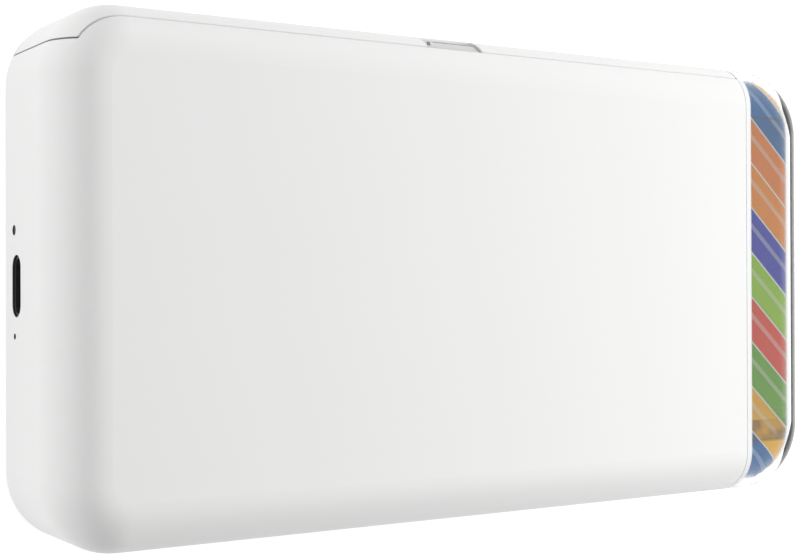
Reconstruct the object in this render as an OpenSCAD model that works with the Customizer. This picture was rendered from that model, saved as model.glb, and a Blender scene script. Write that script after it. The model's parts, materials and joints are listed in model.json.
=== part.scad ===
// Compact pocket photo printer, lying flat with its large plain face up.
// X runs from the USB end to the clear exit end, Y to the hinged side door, Z up.
// The origin is the centre of the footprint, on the surface that the feet stand on.

/* [Body] */
// Length of the electronics bay at the USB end
bay_l = 27.6; // [26:0.2:34]
// Room across the body for the gears, beside the paper
gear_room = 16; // [15:0.5:20]
// Room across the body for the door, beside the paper
door_room = 10; // [9.8:0.1:10.4]
// Overall height, feet included
body_h = 27; // [26.5:0.5:29]
// Wall of the white housing
wall = 2; // [1.6:0.1:2.2]
// Large rounding round the top face
top_fillet = 8; // [7:0.5:9]
// Small rounding round the bottom face
bottom_fillet = 4; // [3.6:0.2:4.2]
// Plan corner radius at the USB end
corner_left = 11; // [10.5:0.5:12]
// Plan corner radius at the exit end
corner_right = 12.5; // [12:0.5:13]
// Height that the feet stand proud of the bottom
foot_proud = 0.5; // [0.4:0.1:1]
// Diameter of a foot
foot_d = 8; // [6:0.5:9]
// Visible gap between neighbouring covers
seam = 0.25; // [0.15:0.05:0.3]

/* [Back cover] */
// Thickness of the back cover plate
back_t = 2; // [1.6:0.1:2.2]
// Thread diameter of a cover screw
screw_d = 2; // [1.6:0.1:2.2]
// Head diameter of a cover screw
screw_head_d = 3.6; // [3.2:0.2:4]
// Outer diameter of a screw boss
boss_d = 5; // [4.6:0.2:5.4]
// Length of a cover screw
screw_l = 8; // [6:0.5:9]

/* [Side door] */
// Depth of the door's wrap, inwards from the long side
door_depth = 6; // [5.8:0.1:6.2]
// Drop from the top face to the door's free edge
door_drop = 2.5; // [2.3:0.1:2.7]
// Wall of the door
door_wall = 2; // [1.8:0.1:2.1]
// Diameter of a hinge pin
hinge_pin_d = 2; // [1.6:0.1:2.2]
// Length of a hinge pin
hinge_pin_l = 6; // [5:0.5:7]
// Running clearance round pins and shafts
run_gap = 0.05; // [0.03:0.01:0.08]
// Free gap round the door's hinge bead
bead_gap = 0.3; // [0.25:0.05:0.35]
// Distance of the latch notch's centre from the cap seam
latch_in = 64.15; // [60:0.25:66]
// Width of the latch notch
latch_w = 11; // [9:0.5:13]
// Height of the latch notch
latch_h = 3.1; // [2.8:0.1:3.4]

/* [End cap] */
// Distance of the cap seam from the exit end
cap_l = 17.6; // [17:0.1:18.2]
// Wall of the clear cap
cap_wall = 1.5; // [1.3:0.1:1.7]
// Gap between the housing and the clear cap
cap_gap = 0.1; // [0.05:0.05:0.2]
// Depth of the dark end plate
plate_depth = 3; // [2.6:0.2:3.4]
// Thickness of the colour film
film_t = 0.2; // [0.15:0.05:0.3]
// Width of the colour film along the body
film_w = 9.6; // [9:0.2:10.4]
// Distance from the cap seam to the film
film_inset = 1.9; // [1.6:0.1:2.2]
// Wall of the white cap carrier
carrier_wall = 1.4; // [1.2:0.1:1.6]
// Width of a print
paper_w = 54; // [53:0.5:55]
// Length of a print
paper_l = 86; // [85:0.5:87]
// Height of the exit slot
slot_h = 2.6; // [2.2:0.1:3]
// Side room for the paper in the exit slot
slot_side = 1; // [0.8:0.1:1.2]
// Height of the paper path above the ground
path_z = 12; // [11.8:0.1:12.2]
// Wall of the dark exit bezel
bezel_wall = 0.9; // [0.7:0.1:1]

/* [Controls] */
// Length of the USB-C opening
usb_l = 9.2; // [9:0.1:9.4]
// Height of the USB-C opening
usb_h = 3.8; // [3.6:0.1:4]
// Place of the USB-C opening across the body
usb_y = -1; // [-3:0.5:3]
// Thickness of the receptacle's shell
usb_wall = 0.3; // [0.25:0.05:0.35]
// Diameter of the status light pipe
light_d = 1.5; // [1.2:0.1:1.8]
// Place of the status light across the body
light_y = 7.3; // [6.5:0.1:9]
// Diameter of the reset hole
reset_d = 0.9; // [0.8:0.1:1.1]
// Place of the reset hole across the body
reset_y = -8.5; // [-10:0.5:-7.5]
// Length of the power button
power_l = 9; // [8:0.5:11]
// Height of the power button
power_h = 4; // [3.5:0.1:4.4]
// Distance of the power button from the USB end
power_in = 19; // [18:0.5:20]
// Travel of the power button
power_travel = 0.6; // [0.4:0.1:0.8]
// Free gap round a button
button_gap = 0.25; // [0.15:0.05:0.3]

/* [Chassis] */
// Thickness of the chassis plates
plate_t = 1.4; // [1.2:0.1:1.5]
// Thickness of the chassis floor
floor_t = 1; // [0.8:0.1:1.1]
// Thickness of the main board
board_t = 1.2; // [1:0.1:1.4]
// Room between the battery and the power switch
battery_side = 0.7; // [0.5:0.1:4]
// Room left beside the battery
battery_gap = 1.6; // [1.2:0.2:3]
// Thickness of the battery
battery_t = 9; // [8:0.5:10]

/* [Rollers and gears] */
// Radius of the platen roller
platen_r = 3.2; // [3:0.1:3.3]
// Radius of the capstan and pinch rollers
capstan_r = 2; // [1.8:0.1:2.2]
// Radius of the pickup roller
pickup_r = 2; // [1.8:0.1:2.1]
// Radius of a roller shaft
shaft_r = 1; // [0.9:0.05:1.1]
// Gap between the paper path and a roller
nip = 0.15; // [0.1:0.05:0.2]
// Gear module
gear_m = 0.5; // [0.49:0.01:0.51]
// Thickness of a gear
gear_t = 2; // [1.6:0.1:2.2]
// Teeth on the motor pinion
pinion_n = 10; // [9:1:11]
// Teeth on the capstan gear
capstan_n = 18; // [18:1:19]
// Teeth on the take-up hub gear
hub_n = 22; // [21:1:23]
// Radius of the feed motor
motor_r = 3.4; // [3:0.1:3.5]
// Length of the feed motor
motor_l = 17; // [14:1:20]
// Lift of the print head
head_lift = 1; // [0.6:0.1:1.2]

/* [Cartridge] */
// Length of the cartridge's nose, past the paper
nose_l = 18.2; // [18:0.2:19]
// Wall of the cartridge shells
cart_wall = 1; // [0.8:0.1:1]
// Radius of the full supply roll
supply_r = 3.6; // [3.2:0.1:3.6]
// Radius of the take-up roll
takeup_r = 3.1; // [2.7:0.1:3.1]
// Number of sheets in the stack
sheets = 10; // [5:1:10]
// Thickness of one sheet
sheet_t = 0.26; // [0.2:0.02:0.28]

/* [Hidden] */
$fn = 64;
slack = 1;
body_gap = 0.6;
cart_l = paper_l + nose_l;
body_l = bay_l + cart_l + body_gap + cap_l;
body_w = paper_w + gear_room + door_room;
x_end = body_l / 2;
y_side = body_w / 2;
z_low = foot_proud;
z_high = body_h;
cap_x = x_end - cap_l;
latch_x = cap_x - latch_in;
power_x = -x_end + power_in;
back_z = z_low + back_t;
door_y = y_side - door_depth;
hinge_y = y_side - bottom_fillet;
hinge_z = z_low + bottom_fillet;
bead_r = bottom_fillet;
pocket_r = bead_r + bead_gap;
cheek_x = -x_end + 2.5;
pin_x = [-x_end + 13, cap_x - hinge_pin_l - 1];
door_top = z_high - door_drop;
latch_low = door_top - latch_h;
slot_w = paper_w + 2 * slot_side;
paper_y = y_side - door_room - paper_w / 2;
window_half = 3.6;
slot_z = path_z - slot_h / 2;
carrier_in = cap_wall + film_t + 0.1;
inner_in = carrier_in + carrier_wall;
usb_z = back_z + 6.6;
usb_gap = 0.15;
board_top = usb_z - usb_h / 2 + usb_gap;
plate_a = paper_y - paper_w / 2 - 3.2 - plate_t;
plate_b = hinge_y - pocket_r - plate_t - 0.05;
cart_x1 = cap_x - body_gap;
cart_x0 = cart_x1 - cart_l;
cart_y0 = plate_a + plate_t + 0.5;
cart_y1 = door_y - 0.6;
stack_z = path_z - sheets * sheet_t - 0.25;
cart_z0 = stack_z - cart_wall - 0.4;
cart_z1 = z_high - 4.8;
split_z = 13.2;
head_x = cart_x1 - 12.3;
platen_x = head_x;
platen_z = path_z - nip - platen_r;
capstan_x = cart_x1 + capstan_r + 0.4;
capstan_z = path_z - nip - capstan_r;
pinch_z = path_z + nip + capstan_r;
gear_play = 0.12;
function pitch_r(n) = n * gear_m / 2;
function centre_gap(a, b) = pitch_r(a) + pitch_r(b) + gear_play;
motor_z = back_z + floor_t + motor_r + 0.05;
motor_gap = centre_gap(pinion_n, capstan_n);
motor_x = capstan_x - sqrt(motor_gap * motor_gap - pow(motor_z - capstan_z, 2));
hub_gap = centre_gap(capstan_n, hub_n);
hub_x = cart_x1 - cart_wall - takeup_r - 0.2;
spool_z = capstan_z + sqrt(hub_gap * hub_gap - pow(capstan_x - hub_x, 2));
supply_x = head_x - window_half - cart_wall - supply_r - 0.3;
pickup_x = head_x - 24.5;
pickup_shaft_r = 0.5;
pickup_z = stack_z - nip - pickup_r;
gear_y = plate_a - 0.5 - gear_t;
deck_z = path_z + 0.8;
bracket_z = cart_z1 + 0.2;
bracket_t = 0.6;
bridge_z = z_high - wall - 0.7;
foot_x = x_end - 15;
foot_y = y_side - 14;
light_z = usb_z - 1.1;
reset_z = usb_z - 0.8;
power_z = back_z + 11;
paper_x = cart_x0 + cart_wall + 0.7 + paper_l / 2;
battery_z = usb_z + 2.6;

// ---- helpers ----

// Half outline of the body's edge: reach out from the axis, between two heights.
module edge_profile(reach, low, high, r_top, r_bottom) {
  translate([0, low + r_bottom]) square([reach, high - low - r_top - r_bottom]);
  translate([0, low]) square([reach - r_bottom, r_bottom]);
  translate([0, high - r_top]) square([reach - r_top, r_top]);
  intersection() {
    translate([reach - r_top, high - r_top]) circle(r_top);
    translate([reach - r_top, high - r_top]) square(r_top);
  }
  intersection() {
    translate([reach - r_bottom, low + r_bottom]) circle(r_bottom);
    translate([reach - r_bottom, low]) square(r_bottom);
  }
}

// One quarter-turned corner of the body.
module corner(x, y, turn, r, low, high, r_top, r_bottom) {
  translate([x, y, 0]) rotate([0, 0, turn]) rotate_extrude(angle = 90)
    edge_profile(r, low, high, r_top, r_bottom);
}

// The body's rounded block, drawn in from its outside by inset.
module body_block(inset) {
  rl = corner_left - inset;
  rr = corner_right - inset;
  rt = top_fillet - inset;
  rb = bottom_fillet - min(inset, bottom_fillet - 0.4);
  low = z_low + inset;
  high = z_high - inset;
  xl = x_end - corner_left;
  xr = x_end - corner_right;
  yl = y_side - corner_left;
  yr = y_side - corner_right;
  corner(-xl, -yl, 180, rl, low, high, rt, rb);
  corner(-xl, yl, 90, rl, low, high, rt, rb);
  corner(xr, -yr, 270, rr, low, high, rt, rb);
  corner(xr, yr, 0, rr, low, high, rt, rb);
  // long sides
  for (s = [-1, 1])
    translate([-xl, 0, 0]) rotate([90, 0, 90]) linear_extrude(xl + xr)
      mirror([s < 0 ? 1 : 0, 0]) edge_profile(y_side - inset, low, high, rt, rb);
  // ends
  translate([-xl, yl, 0]) rotate([90, 0, 0]) linear_extrude(2 * yl)
    mirror([1, 0]) edge_profile(x_end - inset - xl, low, high, rt, rb);
  translate([xr, yr, 0]) rotate([90, 0, 0]) linear_extrude(2 * yr)
    edge_profile(x_end - inset - xr, low, high, rt, rb);
}

// A hollow shell of the body block between two insets.
module body_shell(outer, inner) {
  difference() {
    body_block(outer);
    body_block(inner);
  }
}

// A box given by its two opposite corners.
module span(a, b) {
  translate(a) cube(b - a);
}

// A rod along X, Y or Z from a start point.
module rod_x(x, y, z, len, r) {
  translate([x, y, z]) rotate([0, 90, 0]) cylinder(h = len, r = r);
}
module rod_y(x, y, z, len, r) {
  translate([x, y, z]) rotate([-90, 0, 0]) cylinder(h = len, r = r);
}
module rod_z(x, y, z, len, r) {
  translate([x, y, z]) cylinder(h = len, r = r);
}

// A slot with round ends, cut along X through an end wall.
module slot_x(x, y, z, depth, len, height) {
  span([x, y - (len - height) / 2, z - height / 2], [x + depth, y + (len - height) / 2, z + height / 2]);
  for (s = [-1, 1]) rod_x(x, y + s * (len - height) / 2, z, depth, height / 2);
}

// A slot with round ends, cut along Y through a long wall.
module slot_y(x, y, z, depth, len, height) {
  span([x - (len - height) / 2, y, z - height / 2], [x + (len - height) / 2, y + depth, z + height / 2]);
  for (s = [-1, 1]) rod_y(x + s * (len - height) / 2, y, z, depth, height / 2);
}

// ---- covers ----

lug_w = 2;
pad_z = path_z - 3;
lug_x = pin_x[0] + hinge_pin_l / 2;
lug_r = hinge_pin_d / 2 + 1;
catch_z = latch_low - 0.5;
leaf_z = cart_z1 + 0.4;
leaf_t = 0.6;
hook_y = door_y + 1;
housing_screws = [[-x_end + 7, y_side - 12], [cart_x0 + 7.4, -y_side + 7], [head_x - 24.5, -y_side + 7]];
carrier_screw = [x_end - 8.5, y_side - 8.5];

// The hinge axis as a rod of radius r between two places along the body.
module hinge_rod(x0, x1, r) {
  rod_x(x0, hinge_y, hinge_z, x1 - x0, r);
}

// The space that the side door takes, grown by gap.
module door_zone(gap) {
  difference() {
    span([-x_end - slack, door_y - gap, z_low - slack], [cap_x, y_side + slack, door_top + gap]);
    span([-x_end - 2 * slack, door_y - 2 * slack, z_low - 2 * slack],
      [cheek_x + 0.2 - gap, y_side + 2 * slack, hinge_z - gap]);
  }
}

module boss(x, y, z0, z1) {
  rod_z(x, y, z0, z1 - z0, boss_d / 2);
}

module screw_hole(x, y, z0, z1) {
  rod_z(x, y, z0, z1 - z0, screw_d / 2);
}

module top_housing() {
  color("white") difference() {
    union() {
      difference() {
        body_shell(0, wall);
        span([-x_end - slack, -y_side - slack, z_low - slack], [x_end, y_side + slack, back_z]);
      }
      for (p = housing_screws) boss(p[0], p[1], back_z, z_high - wall + 0.2);
    }
    span([cap_x - cap_gap, -y_side - slack, 0], [x_end + slack, y_side + slack, z_high + slack]);
    door_zone(seam);
    hinge_rod(cheek_x, cap_x, pocket_r);
    for (p = housing_screws) screw_hole(p[0], p[1], back_z - slack, back_z + screw_l + slack);
    slot_x(-x_end - slack, usb_y, usb_z, wall + 2 * slack, usb_l, usb_h);
    rod_x(-x_end - slack, light_y, light_z, wall + 2 * slack, light_d / 2);
    rod_x(-x_end - slack, reset_y, reset_z, wall + 2 * slack, reset_d / 2);
    slot_y(power_x, -y_side - slack, power_z, wall + 2 * slack,
      power_l + 2 * button_gap, power_h + 2 * button_gap);
  }
}

module back_cover() {
  color("whitesmoke") difference() {
    union() {
      intersection() {
        body_block(0);
        span([-x_end, -y_side, 0], [x_end, y_side, back_z]);
      }
      hinge_lug();
      board_posts();
    }
    hinge_rod(cheek_x, lug_x - lug_w / 2, pocket_r);
    hinge_rod(lug_x + lug_w / 2, cap_x, pocket_r);
    difference() {
      hinge_rod(lug_x - lug_w, lug_x + lug_w, pocket_r);
      lug_shape();
    }
    hinge_rod(lug_x - lug_w, lug_x + lug_w, hinge_pin_d / 2);
    for (p = screw_at) rod_z(p[0], p[1], back_z - frame_screw_l, frame_screw_l + slack, frame_screw_r);
    for (p = concat(housing_screws, [carrier_screw])) {
      screw_hole(p[0], p[1], 0, back_z + slack);
      translate([p[0], p[1], z_low]) cylinder(h = screw_head_h, r1 = screw_head_d / 2, r2 = screw_d / 2);
    }
  }
}

screw_head_h = 1.1;

// The four posts that the main board stands on.
module board_posts() {
  for (x = [board_x0 + 5, board_x1 - 3]) for (y = [board_y0 + 8, board_y1 - 6])
    rod_z(x, y, back_z - 0.2, board_top - board_t - back_z + 0.2, post_r);
}

// The eye and arm that carry the left hinge pin.
module lug_shape() {
  hinge_rod(lug_x - lug_w / 2, lug_x + lug_w / 2, lug_r);
  span([lug_x - lug_w / 2, hinge_y - pocket_r - 1.5, hinge_z], [lug_x + lug_w / 2, hinge_y, hinge_z + lug_r]);
}

module hinge_lug() {
  lug_shape();
  span([lug_x - lug_w / 2, hinge_y - pocket_r - 2.5, back_z - 0.2],
    [lug_x + lug_w / 2, hinge_y - pocket_r - 0.5, hinge_z + lug_r]);
}

module rubber_feet() {
  color("gray") for (sx = [-1, 1]) for (sy = [-1, 1])
    rod_z(sx * foot_x, sy * foot_y, 0, foot_proud, foot_d / 2);
}

module cover_screws() {
  color("silver") for (p = concat(housing_screws, [carrier_screw])) difference() {
    union() {
      translate([p[0], p[1], z_low]) cylinder(h = screw_head_h, r1 = screw_head_d / 2, r2 = screw_d / 2);
      rod_z(p[0], p[1], z_low, screw_l, screw_d / 2);
    }
    for (a = [0, 90]) translate([p[0], p[1], z_low]) rotate([0, 0, a])
      cube([screw_head_d * 0.55, 0.45, 1.2], center = true);
  }
}

// How far the door's shell reaches past the hinge axis, inside the bead's swing.
shell_toe = 0.5;

module side_door() {
  end = cap_x - seam;
  color("white") difference() {
    union() {
      difference() {
        intersection() {
          body_shell(0, door_wall);
          door_zone(0);
          span([-x_end, 0, 0], [end, y_side, z_high]);
        }
        span([-x_end - slack, 0, 0], [end + slack, hinge_y - shell_toe, hinge_z - 1]);
      }
      intersection() {
        body_block(0);
        hinge_rod(cheek_x + 0.2, end, bead_r);
      }
      catch_frame();
      for (x = [cart_x0 + 17, head_x - 19])
        span([x, door_y - 0.2, pad_z], [x + 6, y_side - door_wall + 0.5, pad_z + 4]);
    }
    hinge_rod(pin_x[0] - 0.5, pin_x[0] + hinge_pin_l + 0.5, hinge_pin_d / 2 + run_gap);
    hinge_rod(pin_x[1] - 0.5, end + slack, hinge_pin_d / 2 + run_gap);
    hinge_rod(lug_x - lug_w / 2 - 0.2, lug_x + lug_w / 2 + 0.2, lug_r + 0.15);
    span([lug_x - lug_w / 2 - 0.2, door_y - 3, 0], [lug_x + lug_w / 2 + 0.2, hinge_y, hinge_z + bead_r + slack]);
    span([latch_x - latch_w / 2, hook_y, latch_low], [latch_x + latch_w / 2, y_side + slack, z_high]);
  }
}

// The bar and its two ribs that the latch finger hooks over.
module catch_frame() {
  rib = 1.6;
  half = latch_w / 2 + 0.4;
  span([latch_x - half - rib, door_y - 0.1, catch_z - 1.2], [latch_x + half + rib, door_y + 0.7, catch_z + 0.7]);
  for (s = [-1, 1]) span([latch_x + s * (half + rib / 2) - rib / 2, door_y - 0.1, catch_z - 1.2],
    [latch_x + s * (half + rib / 2) + rib / 2, y_side - door_wall, catch_z + 0.7]);
}

module hinge_pins() {
  color("silver") {
    hinge_rod(pin_x[0], pin_x[0] + hinge_pin_l, hinge_pin_d / 2);
    hinge_rod(pin_x[1], cap_x + carrier_gap + carrier_wall, hinge_pin_d / 2);
  }
}

carrier_gap = 0.2;

module latch_button() {
  color("gainsboro") union() {
    intersection() {
      body_block(0.3);
      span([latch_x - latch_w / 2 + 0.35, hook_y + 1.2, latch_low + 0.35],
        [latch_x + latch_w / 2 - 0.35, y_side, door_top - 0.3]);
    }
  }
}

module latch_finger() {
  color("silver") {
    span([latch_x - 3, hook_y - 7, leaf_z], [latch_x + 3, hook_y + 0.8, leaf_z + leaf_t]);
    span([latch_x - 3, hook_y, catch_z - 0.6], [latch_x + 3, hook_y + 0.8, leaf_z + leaf_t / 2]);
    span([latch_x - 3, hook_y - 7, leaf_z], [latch_x + 3, hook_y - 4, z_high - wall]);
  }
}

module clear_end_cap() {
  color("lightblue", 0.35) difference() {
    body_shell(0, cap_wall);
    span([-x_end - slack, -y_side - slack, 0], [cap_x, y_side + slack, z_high + slack]);
    span([0, -y_side - slack, 0], [x_end + slack, y_side + slack, back_z]);
    span([x_end - plate_depth, -y_side - slack, 0], [x_end + slack, y_side + slack, z_high + slack]);
  }
}

// The exit slot through the end, grown all round by extra.
module exit_hole(extra) {
  span([x_end - 12, paper_y - slot_w / 2 - extra, slot_z - extra],
    [x_end + slack, paper_y + slot_w / 2 + extra, slot_z + slot_h + extra]);
}

module color_film() {
  color("orange") intersection() {
    body_shell(cap_wall + 0.05, cap_wall + 0.05 + film_t);
    span([cap_x + film_inset, -y_side, back_z + 1], [cap_x + film_inset + film_w, y_side, z_high]);
  }
}

module cap_carrier() {
  color("white") difference() {
    union() {
      difference() {
        intersection() {
          body_shell(carrier_in, inner_in);
          span([cap_x + carrier_gap, -y_side, back_z], [x_end, y_side, z_high]);
        }
        carrier_mouth();
      }
      intersection() {
        body_block(carrier_in);
        span([cap_x + carrier_gap, -y_side, back_z], [cap_x + carrier_gap + carrier_wall, y_side, z_high]);
      }
      boss(carrier_screw[0], carrier_screw[1], back_z, path_z - 2.5);
      span([carrier_screw[0] - 1, carrier_screw[1], back_z], [carrier_screw[0] + 1, y_side - inner_in - 1.1, path_z - 2.5]);
    }
    span([cap_x, -y_side + inner_in + 1, 0], [cap_x + 3, plate_b + plate_t + 0.4, z_high - inner_in - 0.4]);
    exit_hole(bezel_wall + 0.05);
    hinge_rod(cap_x, cap_x + 3, hinge_pin_d / 2);
    screw_hole(carrier_screw[0], carrier_screw[1], 0, back_z + screw_l - 2);
  }
}

// The open underside of the cap carrier.
module carrier_mouth() {
  x1 = x_end - corner_right;
  y1 = y_side - corner_right;
  top = back_z + 5;
  span([cap_x, -y1, 0], [x_end - inner_in, y1, top]);
  span([cap_x, -y_side + inner_in, 0], [x1, y_side - inner_in, top]);
  for (s = [-1, 1]) rod_z(x1, s * y1, 0, top, corner_right - inner_in);
}

// The dark end plate, with the frame of the exit slot.
module exit_bezel() {
  color([0.2, 0.2, 0.2]) difference() {
    union() {
      intersection() {
        body_shell(0, cap_wall);
        span([x_end - plate_depth + 0.05, -y_side, back_z], [x_end, y_side, z_high]);
      }
      span([x_end - inner_in - 0.8, paper_y - slot_w / 2 - bezel_wall, slot_z - bezel_wall],
        [x_end - 0.4, paper_y + slot_w / 2 + bezel_wall, slot_z + slot_h + bezel_wall]);
    }
    exit_hole(0);
  }
}

// ---- USB end: sockets, buttons, board and battery ----

board_x0 = -x_end + wall + 0.5;
board_x1 = cart_x0 - 1;
board_y0 = -y_side + wall + 1.5;
board_y1 = housing_screws[0][1] - boss_d / 2 - 0.8;
post_r = 1.5;
led_l = 1.6;
switch_x = board_x0 + 1.6;
battery_x0 = -x_end + wall + 2;
battery_y1 = board_y1 - 0.2;
battery_w = cart_x0 - battery_gap - battery_x0;
button_y = -y_side + wall;
switch_y = button_y + 2.4;
switch_t = 1.4;
battery_l = battery_y1 - switch_y - switch_t - battery_side;

module usb_receptacle() {
  shell_l = usb_l - 2 * usb_gap;
  shell_h = usb_h - 2 * usb_gap;
  depth = 7.3;
  color("dimgray") {
    difference() {
      slot_x(-x_end + 0.3, usb_y, usb_z, depth, shell_l, shell_h);
      slot_x(-x_end - slack, usb_y, usb_z, depth, shell_l - 2 * usb_wall, shell_h - 2 * usb_wall);
    }
    span([-x_end + 1.2, usb_y - 3.3, usb_z - 0.35], [-x_end + depth, usb_y + 3.3, usb_z + 0.35]);
  }
}

module light_pipe() {
  color("black") rod_x(-x_end + 0.15, light_y, light_z, board_x0 + x_end - 0.2, light_d / 2);
}

module status_led() {
  color("ivory") span([board_x0 + 0.5, light_y - led_l / 2, board_top],
    [board_x0 + 0.5 + led_l, light_y + led_l / 2, board_top + led_l]);
}

module reset_plunger() {
  color("dimgray") rod_x(-x_end + wall + 0.2, reset_y, reset_z, 2.6, 0.5);
}

module reset_switch() {
  color("gray") difference() {
    span([switch_x, reset_y - 1.6, board_top], [switch_x + 2.4, reset_y + 1.6, reset_z + 1.2]);
    rod_x(switch_x - slack, reset_y, reset_z, 2.4, 0.5 + run_gap);
  }
}

module power_button() {
  color("white") {
    slot_y(power_x, -y_side + 0.05, power_z, wall + 0.4, power_l, power_h);
    slot_y(power_x, button_y + 0.1, power_z, 0.6, power_l + 1.6, power_h + 1.6);
    rod_y(power_x, button_y, power_z, switch_y - button_y - power_travel - 0.1, 0.8);
  }
}

module power_switch() {
  color("gray") span([power_x - 3, switch_y, board_top], [power_x + 3, switch_y + switch_t, power_z + 2]);
}

module main_board() {
  color("darkgreen") intersection() {
    body_block(wall + 0.4);
    span([board_x0, board_y0, board_top - board_t], [board_x1, board_y1, board_top]);
  }
}

module shield_can() {
  color("silver") span([board_x0 + 10.5, board_y0 + 10, board_top], [board_x1 - 1.6, board_y0 + 26, board_top + 1.6]);
}

module battery_bracket() {
  top = battery_z;
  color("gray") {
    span([battery_x0, board_y0 + 5, top - 0.5], [battery_x0 + battery_w, battery_y1, top]);
    for (y = [board_y0 + 5, battery_y1 - 1.5])
      span([board_x1 - 2.5, y, board_top], [board_x1 - 1, y + 1.5, top]);
    span([battery_x0 + 6, battery_y1 - 1.5, board_top], [battery_x0 + 8, battery_y1, top]);
  }
}

// A plate with round corners between two opposite corners.
module round_plate(a, b, r, z0, z1) {
  translate([0, 0, z0]) linear_extrude(z1 - z0) {
    translate([a[0] + r, a[1]]) square([b[0] - a[0] - 2 * r, b[1] - a[1]]);
    translate([a[0], a[1] + r]) square([b[0] - a[0], b[1] - a[1] - 2 * r]);
    for (x = [a[0] + r, b[0] - r]) for (y = [a[1] + r, b[1] - r]) translate([x, y]) circle(r);
  }
}

module battery_pack() {
  color("lightsteelblue")
    round_plate([battery_x0, battery_y1 - battery_l], [battery_x0 + battery_w, battery_y1], 2,
      battery_z, battery_z + battery_t);
}

// ---- chassis ----

plate_x1 = cap_x - 0.4;
pinch_top = pinch_z + 4;
screw_at = [for (x = [cart_x0 + 8, head_x - 14.5]) for (s = [-1, 1]) [x, paper_y + s * (paper_w / 2 - 7)]];
frame_screw_r = 0.8;
frame_screw_l = 1.2;
frame_head_h = 0.9;

module chassis_frame() {
  color("gray") difference() {
    union() {
      span([cart_x0, plate_a, back_z], [x_end - inner_in - 6, plate_b + plate_t, back_z + floor_t]);
      span([cart_x0, plate_a, back_z], [plate_x1, plate_a + plate_t, bridge_z]);
      span([cart_x0, plate_a, back_z], [capstan_x + 4, plate_a + plate_t, pinch_top]);
      span([tray_x1 + 0.8, plate_b, back_z], [capstan_x + 4, plate_b + plate_t, path_z + 0.4]);
      span([cart_x1 + 0.5, plate_b, back_z], [capstan_x + 4, plate_b + plate_t, pinch_top]);
      span([cart_x0 + 20, plate_b - 1, back_z], [cart_x0 + 40, plate_b, back_z + 3]);
      for (y = [plate_a + plate_t, plate_b]) span([pickup_x - 2, y - 0.2, back_z], [pickup_x + 2, y + 0.9, cart_z0 - 0.05]);
      for (y = [cart_y0 + 6, cart_y1 - 8]) for (x = [cart_x0 + 2, head_x - 36.5, head_x - 10.5])
        span([x, y, back_z], [x + 3, y + 3, cart_z0]);
    }
    shaft_bore(platen_x, platen_z, shaft_r);
    shaft_bore(capstan_x, capstan_z, shaft_r);
    shaft_bore(capstan_x, pinch_z, shaft_r);
    shaft_bore(pickup_x, pickup_z, pickup_shaft_r);
    rod_y(motor_x, plate_a - slack, motor_z, plate_t + 2 * slack, 1.6);
    rod_y(hub_x, plate_a - slack, spool_z, plate_t + 2 * slack, hub_shaft_r + run_gap);
    span([pickup_x - 3, paper_y - 15, 0], [pickup_x + 3, paper_y + 15, back_z + 2]);
    for (p = screw_at) rod_z(p[0], p[1], 0, back_z + 2, frame_screw_r);
    rod_z(carrier_screw[0], carrier_screw[1], 0, back_z + floor_t + slack, boss_d / 2 + 0.2);
  }
}

hub_shaft_r = 1.2;

// One running bore through both side plates.
module shaft_bore(x, z, r) {
  rod_y(x, plate_a - slack, z, plate_b - plate_a + plate_t + 2 * slack, r + run_gap);
}

module top_bridge() {
  color("silver") difference() {
    span([head_x - 5, plate_a, bridge_z], [head_x + 5, plate_b - 4, z_high - wall]);
    for (y = guide_y) rod_z(head_x, y, bridge_z - slack, 3, guide_r + run_gap);
  }
}

guide_r = 0.9;
guide_y = [paper_y - 20, paper_y + 20];

module frame_screws() {
  color("silver") for (p = screw_at) {
    rod_z(p[0], p[1], back_z - frame_screw_l, floor_t + frame_screw_l, frame_screw_r);
    rod_z(p[0], p[1], back_z + floor_t, frame_head_h, 2 * frame_screw_r);
  }
}

// ---- print head ----

head_w = 5.4;
head_z = path_z + nip;
head_t = 1.2;

module print_head() {
  color("tan") span([head_x - head_w / 2, paper_y - paper_w / 2 + 0.5, head_z],
    [head_x + head_w / 2, paper_y + paper_w / 2 - 0.5, head_z + head_t]);
}

module heat_sink() {
  fin_gap = 0.9;
  color("silver") difference() {
    span([head_x - head_w / 2, paper_y - paper_w / 2 + 0.5, head_z + head_t],
      [head_x + head_w / 2, paper_y + paper_w / 2 - 0.5, bracket_z]);
    for (s = [-1, 0, 1]) span([head_x + s * 1.7 - fin_gap / 2, -y_side, head_z + head_t + 1.6],
      [head_x + s * 1.7 + fin_gap / 2, y_side, bracket_z - 0.8]);
  }
}

module head_bracket() {
  color("silver") {
    span([head_x - 4, paper_y - paper_w / 2, bracket_z], [head_x + 4, paper_y + paper_w / 2, bracket_z + bracket_t]);
    for (y = guide_y) rod_z(head_x, y, bracket_z, z_high - wall - head_lift - bracket_z - 0.05, guide_r);
  }
}

module head_springs() {
  color("silver") for (y = [paper_y - 10, paper_y + 10]) difference() {
    rod_z(head_x, y, bracket_z + bracket_t, bridge_z - bracket_z - bracket_t, 1.5);
    rod_z(head_x, y, bracket_z, 3, 1.1);
  }
}

// ---- rollers and gears ----

roller_y0 = plate_a + plate_t + 1.5;
roller_y1 = plate_b - 1;

module roller(x, z, r, bore) {
  difference() {
    rod_y(x, roller_y0, z, roller_y1 - roller_y0, r);
    rod_y(x, roller_y0 - slack, z, roller_y1 - roller_y0 + 2 * slack, bore);
  }
}

module shaft(x, z, r, y0) {
  rod_y(x, y0, z, plate_b + plate_t + 0.3 - y0, r);
}

module platen_roller() {
  color("dimgray") roller(platen_x, platen_z, platen_r, shaft_r);
}

module platen_shaft() {
  color("silver") shaft(platen_x, platen_z, shaft_r, plate_a - 0.2);
}

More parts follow.
